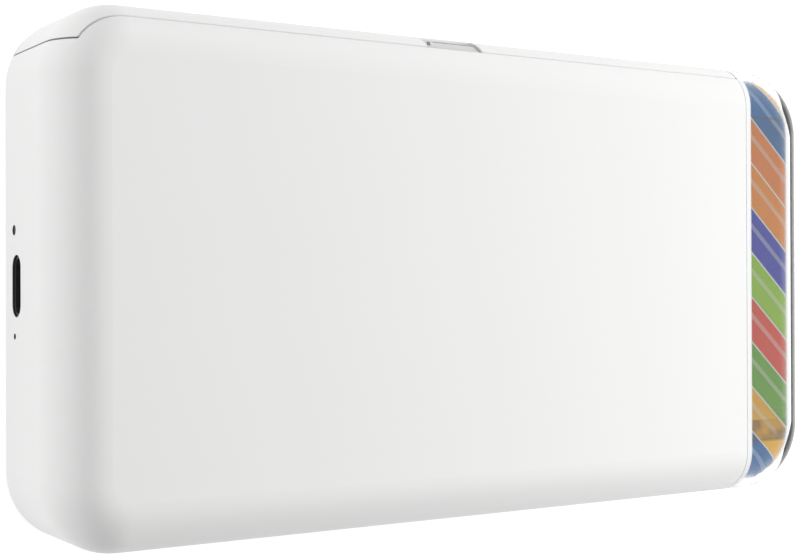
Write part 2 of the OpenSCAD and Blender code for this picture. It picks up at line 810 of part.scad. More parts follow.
module capstan_roller() {
  color("silver") {
    rod_y(capstan_x, roller_y0, capstan_z, roller_y1 - roller_y0, capstan_r);
    shaft(capstan_x, capstan_z, shaft_r, gear_y - 0.3);
  }
}

module pinch_roller() {
  color("dimgray") {
    rod_y(capstan_x, roller_y0, pinch_z, roller_y1 - roller_y0, capstan_r);
    shaft(capstan_x, pinch_z, shaft_r, plate_a - 0.2);
  }
}

module pickup_roller() {
  color("dimgray") {
    rod_y(pickup_x, paper_y - 11, pickup_z, 22, pickup_r);
    shaft(pickup_x, pickup_z, pickup_shaft_r, plate_a - 0.2);
  }
}

module feed_motor() {
  color("silver") {
    rod_y(motor_x, plate_a + plate_t, motor_z, motor_l, motor_r);
    rod_y(motor_x, plate_a, motor_z, plate_t + 0.1, 1.5);
  }
}

// One gear: tapered teeth on a disc, its first tooth turned to angle turn.
module gear(x, z, n, turn, bore) {
  p = pitch_r(n);
  tip = p + 0.8 * gear_m;
  root = p - 1.05 * gear_m;
  wide = 90 / n * 0.92;
  tooth = [[root, -wide * 1.35], [p, -wide], [tip, -wide * 0.42], [tip, wide * 0.42], [p, wide], [root, wide * 1.35]];
  points = [for (i = [0 : n - 1]) for (t = tooth) let(a = turn + i * 360 / n + t[1])
    [t[0] * cos(a), -t[0] * sin(a)]];
  translate([x, gear_y, z]) rotate([-90, 0, 0]) linear_extrude(gear_t) difference() {
    polygon(points);
    circle(bore);
  }
}

// Angle of the line between two gear centres, seen along the body's width.
function aim(x0, z0, x1, z1) = atan2(z1 - z0, x1 - x0);
// First-tooth angle that puts a gear in mesh with its driver.
function meshed(line, from_turn, from_n, n) = line + 180 + 180 / n - (from_turn - line) * from_n / n;

capstan_turn = 0;
pinion_line = aim(capstan_x, capstan_z, motor_x, motor_z);
hub_line = aim(capstan_x, capstan_z, hub_x, spool_z);

module capstan_gear() {
  color("ivory") gear(capstan_x, capstan_z, capstan_n, capstan_turn, shaft_r);
}

module motor_pinion() {
  color("gold") {
    gear(motor_x, motor_z, pinion_n, meshed(pinion_line, capstan_turn, capstan_n, pinion_n), 0.5);
    rod_y(motor_x, gear_y - 0.2, motor_z, plate_a - gear_y + 0.15, 0.5);
  }
}

module takeup_hub() {
  color("ivory") {
    gear(hub_x, spool_z, hub_n, meshed(hub_line, capstan_turn, capstan_n, hub_n), hub_shaft_r);
    rod_y(hub_x, gear_y, spool_z, cart_y0 - gear_y + 3, hub_shaft_r);
  }
}

// ---- cartridge ----

tray_x1 = platen_x - platen_r - 0.5;
window_y1 = paper_y + paper_w / 2 + 0.4;
journal_r = 1.5;
dog_r = 2.4;

module cartridge_tray() {
  color("gray") difference() {
    span([cart_x0, cart_y0, cart_z0], [tray_x1, cart_y1, split_z]);
    span([cart_x0 + cart_wall, cart_y0 + cart_wall, cart_z0 + cart_wall],
      [tray_x1 - cart_wall, cart_y1 - cart_wall, split_z + slack]);
    span([tray_x1 - 2 * cart_wall, paper_y - paper_w / 2 - 0.5, stack_z - 0.2],
      [tray_x1 + slack, paper_y + paper_w / 2 + 0.5, split_z + slack]);
    span([pickup_x - 3, paper_y - 13, cart_z0 - slack], [pickup_x + 3, paper_y + 13, stack_z]);
  }
}

module cartridge_lid() {
  roof = cart_z1 - cart_wall;
  color("darkgray") difference() {
    union() {
      span([cart_x0, cart_y0, split_z], [tray_x1, cart_y1, cart_z1]);
      span([tray_x1 - slack, cart_y0, max(deck_z, split_z)], [cart_x1, cart_y1, cart_z1]);
    }
    span([cart_x0 + cart_wall, cart_y0 + cart_wall, 0], [head_x - window_half - cart_wall, cart_y1 - cart_wall, roof]);
    span([head_x + window_half + cart_wall, cart_y0 + cart_wall, 0], [cart_x1 - cart_wall, cart_y1 - cart_wall, roof]);
    span([head_x - window_half, -y_side, 0], [head_x + window_half, window_y1, z_high]);
    span([supply_x, window_low, 0], [hub_x, window_high, path_z + 2]);
    for (x = [supply_x, hub_x]) rod_y(x, cart_y1 - 2 * cart_wall, spool_z, 3 * cart_wall, journal_r + run_gap);
    rod_y(supply_x, cart_y0 - slack, spool_z, 3 * cart_wall, journal_r + run_gap);
    rod_y(hub_x, cart_y0 - slack, spool_z, 3 * cart_wall, dog_r + run_gap);
  }
}

window_low = paper_y - paper_w / 2 - 0.6;
window_high = paper_y + paper_w / 2 + 0.6;
roll_y0 = paper_y - paper_w / 2 + 0.4;
roll_y1 = paper_y + paper_w / 2 - 0.4;

module supply_spool() {
  color([0.25, 0.2, 0.3]) {
    rod_y(supply_x, roll_y0, spool_z, roll_y1 - roll_y0, supply_r);
    rod_y(supply_x, cart_y0 + 0.1, spool_z, cart_y1 - cart_y0 - 0.2, journal_r);
  }
}

module takeup_spool() {
  color([0.25, 0.2, 0.3]) difference() {
    union() {
      rod_y(hub_x, roll_y0, spool_z, roll_y1 - roll_y0, takeup_r);
      rod_y(hub_x, cart_y0 + 0.1, spool_z, cart_y1 - cart_y0 - 0.2, journal_r);
      rod_y(hub_x, cart_y0 + 0.1, spool_z, 2.4, dog_r);
    }
    rod_y(hub_x, cart_y0 - slack, spool_z, 3.2 + slack, hub_shaft_r);
  }
}

module ribbon_film() {
  t = 0.1;
  low_z = head_z - t - 0.02;
  line = [[supply_x, spool_z - supply_r - t - 0.05], [head_x - window_half, low_z],
    [head_x + window_half, low_z], [hub_x, spool_z - takeup_r - t - 0.05]];
  raised = [for (i = [3 : -1 : 0]) line[i] + [0, t]];
  color([0.5, 0.2, 0.4]) translate([0, roll_y1, 0]) rotate([90, 0, 0])
    linear_extrude(roll_y1 - roll_y0) polygon(concat(line, raised));
}

module paper_stack() {
  color("white") span([paper_x - paper_l / 2, paper_y - paper_w / 2, stack_z],
    [paper_x + paper_l / 2, paper_y + paper_w / 2, stack_z + sheets * sheet_t]);
}

press_x0 = cart_x0 + 8;
press_x1 = supply_x - supply_r - 8;
press_z = stack_z + sheets * sheet_t + 0.05;
press_t = 0.6;

module pressure_plate() {
  color("silver") span([press_x0, paper_y - paper_w / 2 + 3, press_z],
    [press_x1, paper_y + paper_w / 2 - 3, press_z + press_t]);
}

module pressure_spring() {
  t = 0.4;
  foot_z = press_z + press_t;
  roof = cart_z1 - cart_wall;
  mid = (press_x0 + press_x1) / 2;
  line = [[press_x0 + 4, foot_z], [mid - 8, roof - t], [mid + 8, roof - t], [press_x1 - 4, foot_z],
    [press_x1 - 5.5, foot_z], [mid + 7.6, roof - 2 * t], [mid - 7.6, roof - 2 * t], [press_x0 + 5.5, foot_z]];
  color("silver") translate([0, paper_y + 6, 0]) rotate([90, 0, 0]) linear_extrude(12)
    polygon([line[0], line[1] + [0, t], line[2] + [0, t], line[3], line[4], line[5] + [0, t],
      line[6] + [0, t], line[7]]);
}

top_housing();
back_cover();
rubber_feet();
cover_screws();
side_door();
hinge_pins();
latch_button();
latch_finger();
clear_end_cap();
color_film();
cap_carrier();
exit_bezel();
usb_receptacle();
light_pipe();
status_led();
reset_plunger();
reset_switch();
power_button();
power_switch();
main_board();
shield_can();
battery_pack();
battery_bracket();
chassis_frame();
top_bridge();
frame_screws();
print_head();
heat_sink();
head_bracket();
head_springs();
platen_roller();
platen_shaft();
capstan_roller();
capstan_gear();
pinch_roller();
pickup_roller();
feed_motor();
motor_pinion();
takeup_hub();
cartridge_tray();
cartridge_lid();
supply_spool();
takeup_spool();
ribbon_film();
paper_stack();
pressure_plate();
pressure_spring();
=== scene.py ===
import json
import math

import bpy
from mathutils import Matrix, Vector


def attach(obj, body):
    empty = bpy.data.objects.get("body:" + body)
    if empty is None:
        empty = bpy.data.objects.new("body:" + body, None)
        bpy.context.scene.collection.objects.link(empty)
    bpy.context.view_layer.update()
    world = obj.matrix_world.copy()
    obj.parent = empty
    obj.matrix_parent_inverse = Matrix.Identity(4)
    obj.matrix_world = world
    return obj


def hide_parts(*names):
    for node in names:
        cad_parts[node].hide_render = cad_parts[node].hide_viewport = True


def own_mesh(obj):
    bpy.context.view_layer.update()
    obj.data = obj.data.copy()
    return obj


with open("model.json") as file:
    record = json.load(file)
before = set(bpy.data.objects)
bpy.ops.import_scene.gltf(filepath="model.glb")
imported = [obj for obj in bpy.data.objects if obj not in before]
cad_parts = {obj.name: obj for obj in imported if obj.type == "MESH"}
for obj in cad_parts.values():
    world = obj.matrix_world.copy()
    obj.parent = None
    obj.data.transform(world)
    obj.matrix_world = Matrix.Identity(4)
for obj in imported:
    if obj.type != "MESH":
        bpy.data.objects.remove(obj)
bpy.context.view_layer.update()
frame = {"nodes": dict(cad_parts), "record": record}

MM = 0.001

# ---- camera, fitted to the photographed outline: place in metres, axes, lens in millimetres ----

CAMERA_PLACE = Vector((-0.14240671, -0.00138096, 0.22110834))
CAMERA_RIGHT = Vector((0.844242, -0.00302, 0.535954))
CAMERA_UP = Vector((-0.000575, 0.999978, 0.006541))
CAMERA_BACK = Vector((-0.535962, -0.00583, 0.844222))
CAMERA_LENS = 65.4469
SENSOR_WIDTH = 36.0

# ---- light ----

# The world's strength where it lights the object; where it is seen, its strength is 1.
WORLD_LEVEL = 0.42
# The floor's glow and tone where it is seen, and its tone where it lights the object.
FLOOR_GLOW = 0.85
FLOOR_SEEN = 0.33
FLOOR_TONE = 0.8

# ---- colours, as scene-linear values ----

SHELL_WHITE = (0.83, 0.83, 0.825)
BACK_WHITE = (0.78, 0.78, 0.775)
KEY_GREY = (0.62, 0.62, 0.61)
SHADE_DARK = (0.012, 0.012, 0.013)
CLEAR_TONE = (0.975, 0.985, 0.985)
FROST_TONE = (0.86, 0.87, 0.87)
# Colour of the painted dark reflection on the clear cap's corners.
REFLECTION_TONE = (0.03, 0.03, 0.032)
FILM_WHITE = (0.9, 0.9, 0.89)
# Painted shade in the film's folds, and in one blotchy band on the film.
FOLD_SHADE_TONE = (0.1, 0.07, 0.02)
SHADE_BAND_TONE = (0.06, 0.02, 0.01)

# ---- small places, in millimetres ----

# Openings of the USB end: centre Y, centre Z, half of the straight part, radius.
END_OPENINGS = [(-1.0, 9.1, 2.7, 1.9), (7.3, 8.0, 0.0, 0.75), (-8.5, 8.3, 0.0, 0.45)]
END_WALL_X = -70.0
OPENING_SLACK = 0.02
# Share of painted shade on the walls inside the openings.
OPENING_SHADE = 0.97
# Print head: the row of heating points along Y, and the pitch of its points.
HEAD_ROW_X = 44.5
HEAD_ROW_HALF = 0.22
HEAD_POINT_PITCH = 0.5
# Head springs: places, ends, coil and wire radius, turns, and the share left at full lift.
COIL_X, COIL_Y = HEAD_ROW_X, (-7.0, 13.0)
COIL_FOOT, COIL_TOP = 23.0, 24.3
COIL_R, WIRE_R = 1.35, 0.1
COIL_TURNS, COIL_STEPS, WIRE_SIDES = 3, 24, 8
# Painted shade of a groove along the latch key, which its CAD shape lacks: its height, start and
# half width, and the leaning spot of painted shade at its end.
GROOVE_Z = 22.32
GROOVE_X0 = -9.7
GROOVE_HALF = 0.17
GROOVE_SHADE = 0.85
SPOT_X, SPOT_Z = -11.0, 23.0
SPOT_HALF_X, SPOT_HALF_Z = 0.35, 0.75
SPOT_LEAN = 0.55
# Clear cap: the frosted strip at its seam, and the painted dark reflection of the end plate on the
# cap, which widens towards the corners.
FROST_END = 58.7
FROST_FADE = 0.3
REFLECTION_X = 72.01
REFLECTION_CORNER = (27.5, 33.0)
REFLECTION_REACH = 2.2
# Seam of the battery's wrap, panels of the ribbon, and layers of the paper stack.
WRAP_SEAM_Y, WRAP_SEAM_HALF = 14.0, 0.5
RIBBON_PANEL = 7.0
SHEET_PITCH = 0.26
# The floor lies just under the feet.
FLOOR_Z = -0.02

# Bars of the colour film, in their order along the strip.
FILM_BARS = [
    (0.95, 0.26, 0.01), (0.01, 0.15, 0.42), (1.0, 0.52, 0.0), (0.16, 0.47, 0.0),
    (0.9, 0.06, 0.01), (0.37, 0.69, 0.0), (0.01, 0.03, 0.52), (1.0, 0.32, 0.0),
]
# Their pitch along Y in millimetres, and how far they lean along X.
BAR_PITCH = 8.4
BAR_LEAN = 0.9
# Shares of one bar: its pale gap, and the middle and half width of its light line.
BAR_GAP = 0.05
BAR_LIGHT, BAR_LIGHT_HALF = 0.62, 0.07
# Where the film folds over, to both sides, and where the band of painted shade lies, in
# millimetres.
FILM_BEND, FOLD_HALF = 30.4, 0.25
SHADE_BAND_Y, SHADE_BAND_HALF = -28.4, 1.9

# ---- node details ----

# Places of the colour sockets of a Mix node: two inputs and the output.
MIX_A, MIX_B, MIX_OUT = 6, 7, 2
# Added to a coordinate in metres before it repeats, so that it stays above zero.
ABOVE_ZERO = 1.0


class Graph:
    """Short calls for building one material's nodes."""

    def __init__(self, name):
        self.material = bpy.data.materials.new(name)
        self.material.use_nodes = True
        self.nodes = self.material.node_tree.nodes
        self.links = self.material.node_tree.links
        self.shader = self.nodes["Principled BSDF"]
        self.place = self.nodes.new("ShaderNodeTexCoord").outputs["Object"]

    def put(self, socket, value):
        """Links a value that is a socket, or writes one that is a number or colour."""
        if isinstance(value, bpy.types.NodeSocket):
            self.links.new(value, socket)
        elif isinstance(value, tuple) and len(value) == 3 and len(socket.default_value) == 4:
            socket.default_value = (*value, 1.0)
        else:
            socket.default_value = value

    def set(self, **values):
        """Writes the shader's sockets: base_color=..., roughness=..."""
        for key, value in values.items():
            self.put(self.shader.inputs[key.replace("_", " ")], value)

    def stretch(self, scale):
        """Object coordinates with another scale on each axis."""
        node = self.nodes.new("ShaderNodeMapping")
        self.links.new(self.place, node.inputs["Vector"])
        node.inputs["Scale"].default_value = scale
        return node.outputs["Vector"]

    def noise(self, scale, detail=2.0, rough=0.5, vector=None):
        """Soft random tone, from 0 to 1."""
        node = self.nodes.new("ShaderNodeTexNoise")
        self.links.new(vector or self.place, node.inputs["Vector"])
        node.inputs["Scale"].default_value = scale
        node.inputs["Detail"].default_value = detail
        node.inputs["Roughness"].default_value = rough
        return node.outputs["Fac"]

    def cells(self, scale, feature="F1"):
        """A node of random cells, whose Distance tells how near a cell's point or edge is."""
        node = self.nodes.new("ShaderNodeTexVoronoi")
        node.feature = feature
        self.links.new(self.place, node.inputs["Vector"])
        node.inputs["Scale"].default_value = scale
        return node

    def math(self, operation, a, b=0.0):
        """One sum on numbers or sockets."""
        node = self.nodes.new("ShaderNodeMath")
        node.operation = operation
        self.put(node.inputs[0], a)
        self.put(node.inputs[1], b)
        return node.outputs[0]

    def near(self, value, centre, half):
        """1 where a value lies within half of a centre, else 0."""
        away = self.math("ABSOLUTE", self.math("SUBTRACT", value, centre))
        return self.math("LESS_THAN", away, half)

    def repeat(self, value, pitch):
        """The share of the pitch that a coordinate has passed, from 0 to 1."""
        return self.math("FRACT", self.math("DIVIDE", value, pitch))

    def span(self, value, low, high, out_low, out_high):
        """A value mapped from one range into another, held at its ends."""
        node = self.nodes.new("ShaderNodeMapRange")
        self.put(node.inputs["Value"], value)
        ends = {"From Min": low, "From Max": high, "To Min": out_low, "To Max": out_high}
        for key, number in ends.items():
            node.inputs[key].default_value = number
        return node.outputs["Result"]

    def mix(self, factor, a, b):
        """One colour mixed into another."""
        node = self.nodes.new("ShaderNodeMix")
        node.data_type = "RGBA"
        self.put(node.inputs["Factor"], factor)
        self.put(node.inputs[MIX_A], a)
        self.put(node.inputs[MIX_B], b)
        return node.outputs[MIX_OUT]

    def ramp(self, value, stops, sharp=False):
        """A colour ramp; stops are (place, colour)."""
        node = self.nodes.new("ShaderNodeValToRGB")
        self.put(node.inputs["Fac"], value)
        ramp = node.color_ramp
        ramp.interpolation = "CONSTANT" if sharp else "LINEAR"
        while len(ramp.elements) < len(stops):
            ramp.elements.new(0.5)
        for element, (place, colour) in zip(ramp.elements, stops):
            element.position = place
            element.color = (*colour, 1.0)
        return node.outputs["Color"]

    def axes(self):
        """The X, Y and Z of a place, in metres."""
        node = self.nodes.new("ShaderNodeSeparateXYZ")
        self.links.new(self.place, node.inputs["Vector"])
        return node.outputs

    def relief(self, height, depth, edge=0.0):
        """Bumps of a real depth in metres, over edges softened by a radius in metres."""
        node = self.nodes.new("ShaderNodeBump")
        self.put(node.inputs["Height"], height)
        node.inputs["Strength"].default_value = 1.0
        node.inputs["Distance"].default_value = depth
        if edge:
            bevel = self.nodes.new("ShaderNodeBevel")
            bevel.samples = 4
            bevel.inputs["Radius"].default_value = edge
            self.links.new(bevel.outputs["Normal"], node.inputs["Normal"])
        self.links.new(node.outputs["Normal"], self.shader.inputs["Normal"])


def tint(colour, factor):
    """A colour made darker or lighter by one factor."""
    return tuple(c * factor for c in colour)


# ---- materials, one function for each kind of surface ----

def moulded(name, colour, rough, grain=3200.0, depth=3e-6, edge=0.12 * MM, shade=None):
    """Moulded plastic: fine spark-eroded grain, slow drift in tone and gloss, softened edges.

    shade is a function that returns the share of painted shade at a place."""
    g = Graph(name)
    drift = g.noise(38.0, 3.0)
    fine = g.noise(grain, 3.0, 0.62)
    base = g.mix(drift, tint(colour, 0.985), colour)
    if shade:
        base = g.mix(shade(g), base, SHADE_DARK)
    g.set(Base_Color=base,
          Roughness=g.span(g.math("ADD", drift, g.math("MULTIPLY", fine, 0.6)), 0.4, 1.2,
                           rough - 0.03, rough + 0.04),
          IOR=1.5)
    g.relief(fine, depth, edge)
    return g.material


def end_opening_shade(g):
    """Painted shade on the white walls inside the three openings of the USB end."""
    x, y, z = g.axes()
    at_end = g.math("LESS_THAN", x, END_WALL_X * MM)
    inside = None
    for centre_y, centre_z, half, radius in END_OPENINGS:
        across = g.math("ABSOLUTE", g.math("SUBTRACT", y, centre_y * MM))
        across = g.math("MAXIMUM", g.math("SUBTRACT", across, half * MM), 0.0)
        up = g.math("SUBTRACT", z, centre_z * MM)
        away = g.math("SQRT", g.math("ADD", g.math("MULTIPLY", across, across),
                                     g.math("MULTIPLY", up, up)))
        hit = g.math("LESS_THAN", away, (radius + OPENING_SLACK) * MM)
        inside = hit if inside is None else g.math("MAXIMUM", inside, hit)
    return g.math("MULTIPLY", g.math("MULTIPLY", at_end, inside), OPENING_SHADE)


def key_groove_shade(g):
    """Painted shade of a fine groove along the latch key, and painted shade at the end of it."""
    x, y, z = g.axes()
    # Painted shade: a dark line where a groove would be, and a dark spot at its end.
    line = g.near(z, GROOVE_Z * MM, GROOVE_HALF * MM)
    line = g.math("MULTIPLY", line, g.math("GREATER_THAN", x, GROOVE_X0 * MM))
    lean = g.math("ADD", x, g.math("MULTIPLY", g.math("SUBTRACT", z, SPOT_Z * MM), SPOT_LEAN))
    spot = g.near(lean, SPOT_X * MM, SPOT_HALF_X * MM)
    spot = g.math("MULTIPLY", spot, g.near(z, SPOT_Z * MM, SPOT_HALF_Z * MM))
    return g.math("MULTIPLY", g.math("MAXIMUM", line, spot), GROOVE_SHADE)


def brushed(name, colour, rough, along="Y", lines=5200.0, edge=0.05 * MM):
    """Metal with drawn or rolled lines along one axis."""
    g = Graph(name)
    scale = {"X": (0.02, 1.0, 1.0), "Y": (1.0, 0.02, 1.0), "Z": (1.0, 1.0, 0.02)}[along]
    streak = g.noise(lines, 3.0, 0.6, g.stretch(scale))
    stain = g.noise(160.0, 4.0)
    g.set(Base_Color=g.mix(stain, tint(colour, 0.9), colour),
          Roughness=g.span(streak, 0.3, 0.7, rough - 0.06, rough + 0.08),
          Metallic=1.0)
    g.relief(streak, 1.5e-6, edge)
    return g.material


def rubbery(name, colour, rough, grain=2400.0):
    """Rubber: matt, with coarse grain and some pale dust."""
    g = Graph(name)
    fine = g.noise(grain, 5.0, 0.7)
    dust = g.noise(300.0, 4.0, 0.6)
    g.set(Base_Color=g.mix(g.span(dust, 0.52, 0.72, 0.0, 1.0), colour, tint(colour, 1.25)),
          Roughness=g.span(fine, 0.3, 0.7, rough - 0.05, rough + 0.05))
    g.relief(fine, 9e-6, 0.1 * MM)
    return g.material


def clear_acrylic(name):
    """Polished clear plastic: frosted along the seam, with a painted dark reflection of the end
    plate on its corners.
    """
    g = Graph(name)
    ripple = g.noise(120.0, 2.0)
    scuff = g.noise(1800.0, 4.0, 0.65)
    x, y, _ = g.axes()
    frost = g.span(x, FROST_END * MM, (FROST_END - FROST_FADE) * MM, 0.0, 0.9)
    # Painted dark reflection of the end plate: opaque and dark past the plate's edge, reaching
    # further onto the cap towards the corners.
    near, far = REFLECTION_CORNER
    reach = g.span(g.math("ABSOLUTE", y), near * MM, far * MM, 0.0, REFLECTION_REACH * MM)
    painted_reflection = g.math("GREATER_THAN", g.math("ADD", x, reach), REFLECTION_X * MM)
    tone = g.mix(frost, CLEAR_TONE, FROST_TONE)
    opaque = g.math("MAXIMUM", frost, painted_reflection)
    g.set(Base_Color=g.mix(painted_reflection, tone, REFLECTION_TONE),
          Roughness=g.span(scuff, 0.35, 0.75, 0.0, 0.035),
          Transmission_Weight=g.math("SUBTRACT", 1.0, opaque),
          IOR=1.49)
    g.relief(ripple, 6e-6, 0.1 * MM)
    return g.material


def printed_film(name):
    """Leaning colour bars with pale gaps, printed on a glossy film, with painted light past its
    bends and painted shade at its folds and in one blotchy band.
    """
    g = Graph(name)
    x, y, _ = g.axes()
    lean = g.math("ADD", y, g.math("MULTIPLY", x, BAR_LEAN))
    turn = g.math("DIVIDE", g.math("ADD", lean, ABOVE_ZERO), BAR_PITCH * MM)
    count = len(FILM_BARS)
    place = g.repeat(turn, float(count))
    bars = g.ramp(place, [(i / count, c) for i, c in enumerate(FILM_BARS)], sharp=True)
    within = g.math("FRACT", turn)
    light = g.near(within, BAR_LIGHT, BAR_LIGHT_HALF)
    inked = g.mix(g.math("MULTIPLY", light, 0.35), bars, (0.9, 0.9, 0.86))
    gap = g.math("LESS_THAN", within, BAR_GAP)
    speck = g.noise(2600.0, 3.0)
    off = g.math("ABSOLUTE", y)
    # Painted light: brighter, more saturated colour where the film runs past its bends.
    bend_light = g.nodes.new("ShaderNodeHueSaturation")
    g.put(bend_light.inputs["Fac"], g.math("GREATER_THAN", off, FILM_BEND * MM))
    bend_light.inputs["Saturation"].default_value = 1.5
    bend_light.inputs["Value"].default_value = 1.2
    g.links.new(inked, bend_light.inputs["Color"])
    # Painted shade in the crease where the film folds.
    fold = g.near(off, FILM_BEND * MM, FOLD_HALF * MM)
    inked = g.mix(g.math("MULTIPLY", fold, 0.4), bend_light.outputs["Color"], FOLD_SHADE_TONE)
    # Painted shade in a blotchy band on one side of the film.
    shade_band = g.near(y, SHADE_BAND_Y * MM, SHADE_BAND_HALF * MM)
    blots = g.span(g.noise(300.0, 1.0), 0.38, 0.62, 0.15, 0.6)
    inked = g.mix(g.math("MULTIPLY", shade_band, blots), inked, SHADE_BAND_TONE)
    inked = g.mix(g.math("MULTIPLY", speck, 0.08), inked, (0.9, 0.9, 0.9))
    g.set(Base_Color=g.mix(gap, inked, FILM_WHITE),
          Roughness=g.span(speck, 0.3, 0.7, 0.22, 0.3),
          Specular_IOR_Level=0.2)
    g.relief(speck, 1e-6)
    return g.material


def circuit_board(name):
    """Solder resist over tracks, with tinned pads."""
    g = Graph(name)
    tracks = g.math("LESS_THAN", g.cells(620.0, "DISTANCE_TO_EDGE").outputs["Distance"], 0.05)
    pads = g.math("LESS_THAN", g.cells(760.0).outputs["Distance"], 0.13)
    weave = g.noise(2400.0, 2.0)
    resist = g.mix(g.math("MULTIPLY", weave, 0.3), (0.010, 0.075, 0.028), (0.016, 0.10, 0.04))
    g.set(Base_Color=g.mix(pads, g.mix(tracks, resist, (0.03, 0.17, 0.06)), (0.55, 0.54, 0.50)),
          Roughness=g.span(weave, 0.3, 0.7, 0.28, 0.4),
          Metallic=g.math("MULTIPLY", pads, 0.8))
    g.relief(g.math("ADD", tracks, pads), 2e-5, 0.05 * MM)
    return g.material


def battery_wrap(name):
    """Plain foil wrap with a folded seam and light creases."""
    g = Graph(name)
    _, y, _ = g.axes()
    crease = g.noise(210.0, 6.0, 0.66)
    seam = g.near(y, WRAP_SEAM_Y * MM, WRAP_SEAM_HALF * MM)
    base = g.mix(crease, (0.16, 0.20, 0.26), (0.22, 0.27, 0.34))
    g.set(Base_Color=g.mix(seam, base, (0.07, 0.09, 0.12)),
          Roughness=g.span(crease, 0.3, 0.7, 0.25, 0.42),
          Metallic=0.55)
    g.relief(crease, 4e-5, 0.3 * MM)
    return g.material


def glazed_head(name):
    """Glazed ceramic with the dark row of heating points."""
    g = Graph(name)
    x, y, _ = g.axes()
    row = g.near(x, HEAD_ROW_X * MM, HEAD_ROW_HALF * MM)
    point = g.math("LESS_THAN", g.repeat(y, HEAD_POINT_PITCH * MM), 0.7)
    mottled = g.noise(500.0, 4.0)
    glaze = g.mix(mottled, (0.52, 0.44, 0.31), (0.6, 0.52, 0.38))
    g.set(Base_Color=g.mix(g.math("MULTIPLY", row, point), glaze, (0.05, 0.035, 0.03)),
          Roughness=g.span(mottled, 0.3, 0.7, 0.1, 0.22))
    g.relief(mottled, 2e-6, 0.08 * MM)
    return g.material


def ribbon(name):
    """Dye film in wide panels of colour."""
    g = Graph(name)
    x, _, _ = g.axes()
    panel = g.repeat(g.math("ADD", x, ABOVE_ZERO), RIBBON_PANEL * MM)
    yellow, magenta = (0.55, 0.36, 0.02), (0.34, 0.02, 0.14)
    cyan, overcoat = (0.01, 0.13, 0.3), (0.05, 0.04, 0.05)
    stops = [(0.0, yellow), (0.3, magenta), (0.6, cyan), (0.9, overcoat)]
    dye = g.ramp(panel, stops, sharp=True)
    wrinkle = g.noise(180.0, 3.0)
    g.set(Base_Color=g.mix(g.math("MULTIPLY", wrinkle, 0.3), dye, (0.08, 0.05, 0.08)),
          Roughness=g.span(wrinkle, 0.3, 0.7, 0.2, 0.34))
    g.relief(wrinkle, 2e-5)
    return g.material


def paper_stack(name):
    """Coated sheets, with painted shade in the fine gaps between sheets at the stack's edges."""
    g = Graph(name)
    _, _, z = g.axes()
    # Painted shade: darker lines between the sheets on the stack's side faces.
    layer = g.math("LESS_THAN", g.repeat(z, SHEET_PITCH * MM), 0.28)
    fibre = g.noise(1500.0, 5.0, 0.6)
    facing = g.nodes.new("ShaderNodeNewGeometry")
    up = g.nodes.new("ShaderNodeSeparateXYZ")
    g.links.new(facing.outputs["Normal"], up.inputs["Vector"])
    side = g.math("LESS_THAN", g.math("ABSOLUTE", up.outputs["Z"]), 0.5)
    tone = g.mix(fibre, (0.80, 0.785, 0.75), (0.85, 0.84, 0.81))
    g.set(Base_Color=g.mix(g.math("MULTIPLY", layer, side), tone, (0.5, 0.48, 0.44)),
          Roughness=g.span(fibre, 0.3, 0.7, 0.28, 0.4))
    g.relief(fibre, 2e-6)
    return g.material


def led_lens(name):
    """A small lamp package with a yellow phosphor window."""
    g = Graph(name)
    dots = g.cells(2600.0)
    glow = g.noise(2400.0, 2.0)
    g.set(Base_Color=g.mix(g.math("LESS_THAN", dots.outputs["Distance"], 0.3),
                           (0.78, 0.77, 0.72), (0.72, 0.6, 0.2)),
          Roughness=g.span(glow, 0.3, 0.7, 0.2, 0.35))
    g.relief(glow, 2e-6, 0.05 * MM)
    return g.material


def make_finishes():
    """One material for each slot of the record."""
    return {
        "white_shell": moulded("white_shell", SHELL_WHITE, 0.38, shade=end_opening_shade),
        "back_shell": moulded("back_shell", BACK_WHITE, 0.5, grain=2200.0, depth=6e-6),
        "soft_feet": rubbery("soft_feet", (0.34, 0.34, 0.345), 0.75),
        "steel": brushed("steel", (0.60, 0.61, 0.62), 0.3),
        "key_grey": moulded("key_grey", KEY_GREY, 0.4, grain=4200.0, edge=0.18 * MM,
                            shade=key_groove_shade),
        "clear_acrylic": clear_acrylic("clear_acrylic"),
        "printed_film": printed_film("printed_film"),
        "dark_plastic": moulded("dark_plastic", (0.022, 0.022, 0.024), 0.45, grain=2600.0,
                                depth=8e-6),
        "socket_metal": brushed("socket_metal", (0.16, 0.16, 0.17), 0.32, along="X"),
        "led_white": led_lens("led_white"),
        "board_green": circuit_board("board_green"),
        "battery_wrap": battery_wrap("battery_wrap"),
        "grey_plastic": moulded("grey_plastic", (0.11, 0.115, 0.12), 0.5, grain=1800.0, depth=1e-5),
        "head_ceramic": glazed_head("head_ceramic"),
        "aluminium": brushed("aluminium", (0.72, 0.73, 0.75), 0.34),
        "roller_rubber": rubbery("roller_rubber", (0.03, 0.03, 0.032), 0.7, grain=3400.0),
        "gear_plastic": moulded("gear_plastic", (0.68, 0.64, 0.52), 0.35, grain=1400.0, depth=4e-6),
        "brass": brushed("brass", (0.68, 0.47, 0.18), 0.28, along="Z"),
        "ribbon_dark": ribbon("ribbon_dark"),
        "paper": paper_stack("paper"),
    }


def dress(finishes):
    """Gives every CAD node the material of its slot."""
    for part in frame["record"]["subparts"]:
        node = frame["nodes"][part["node"]]
        node.data.materials.clear()
        node.data.materials.append(finishes[part["material_slot"]])


# ---- head springs, which shorten as the head lifts ----

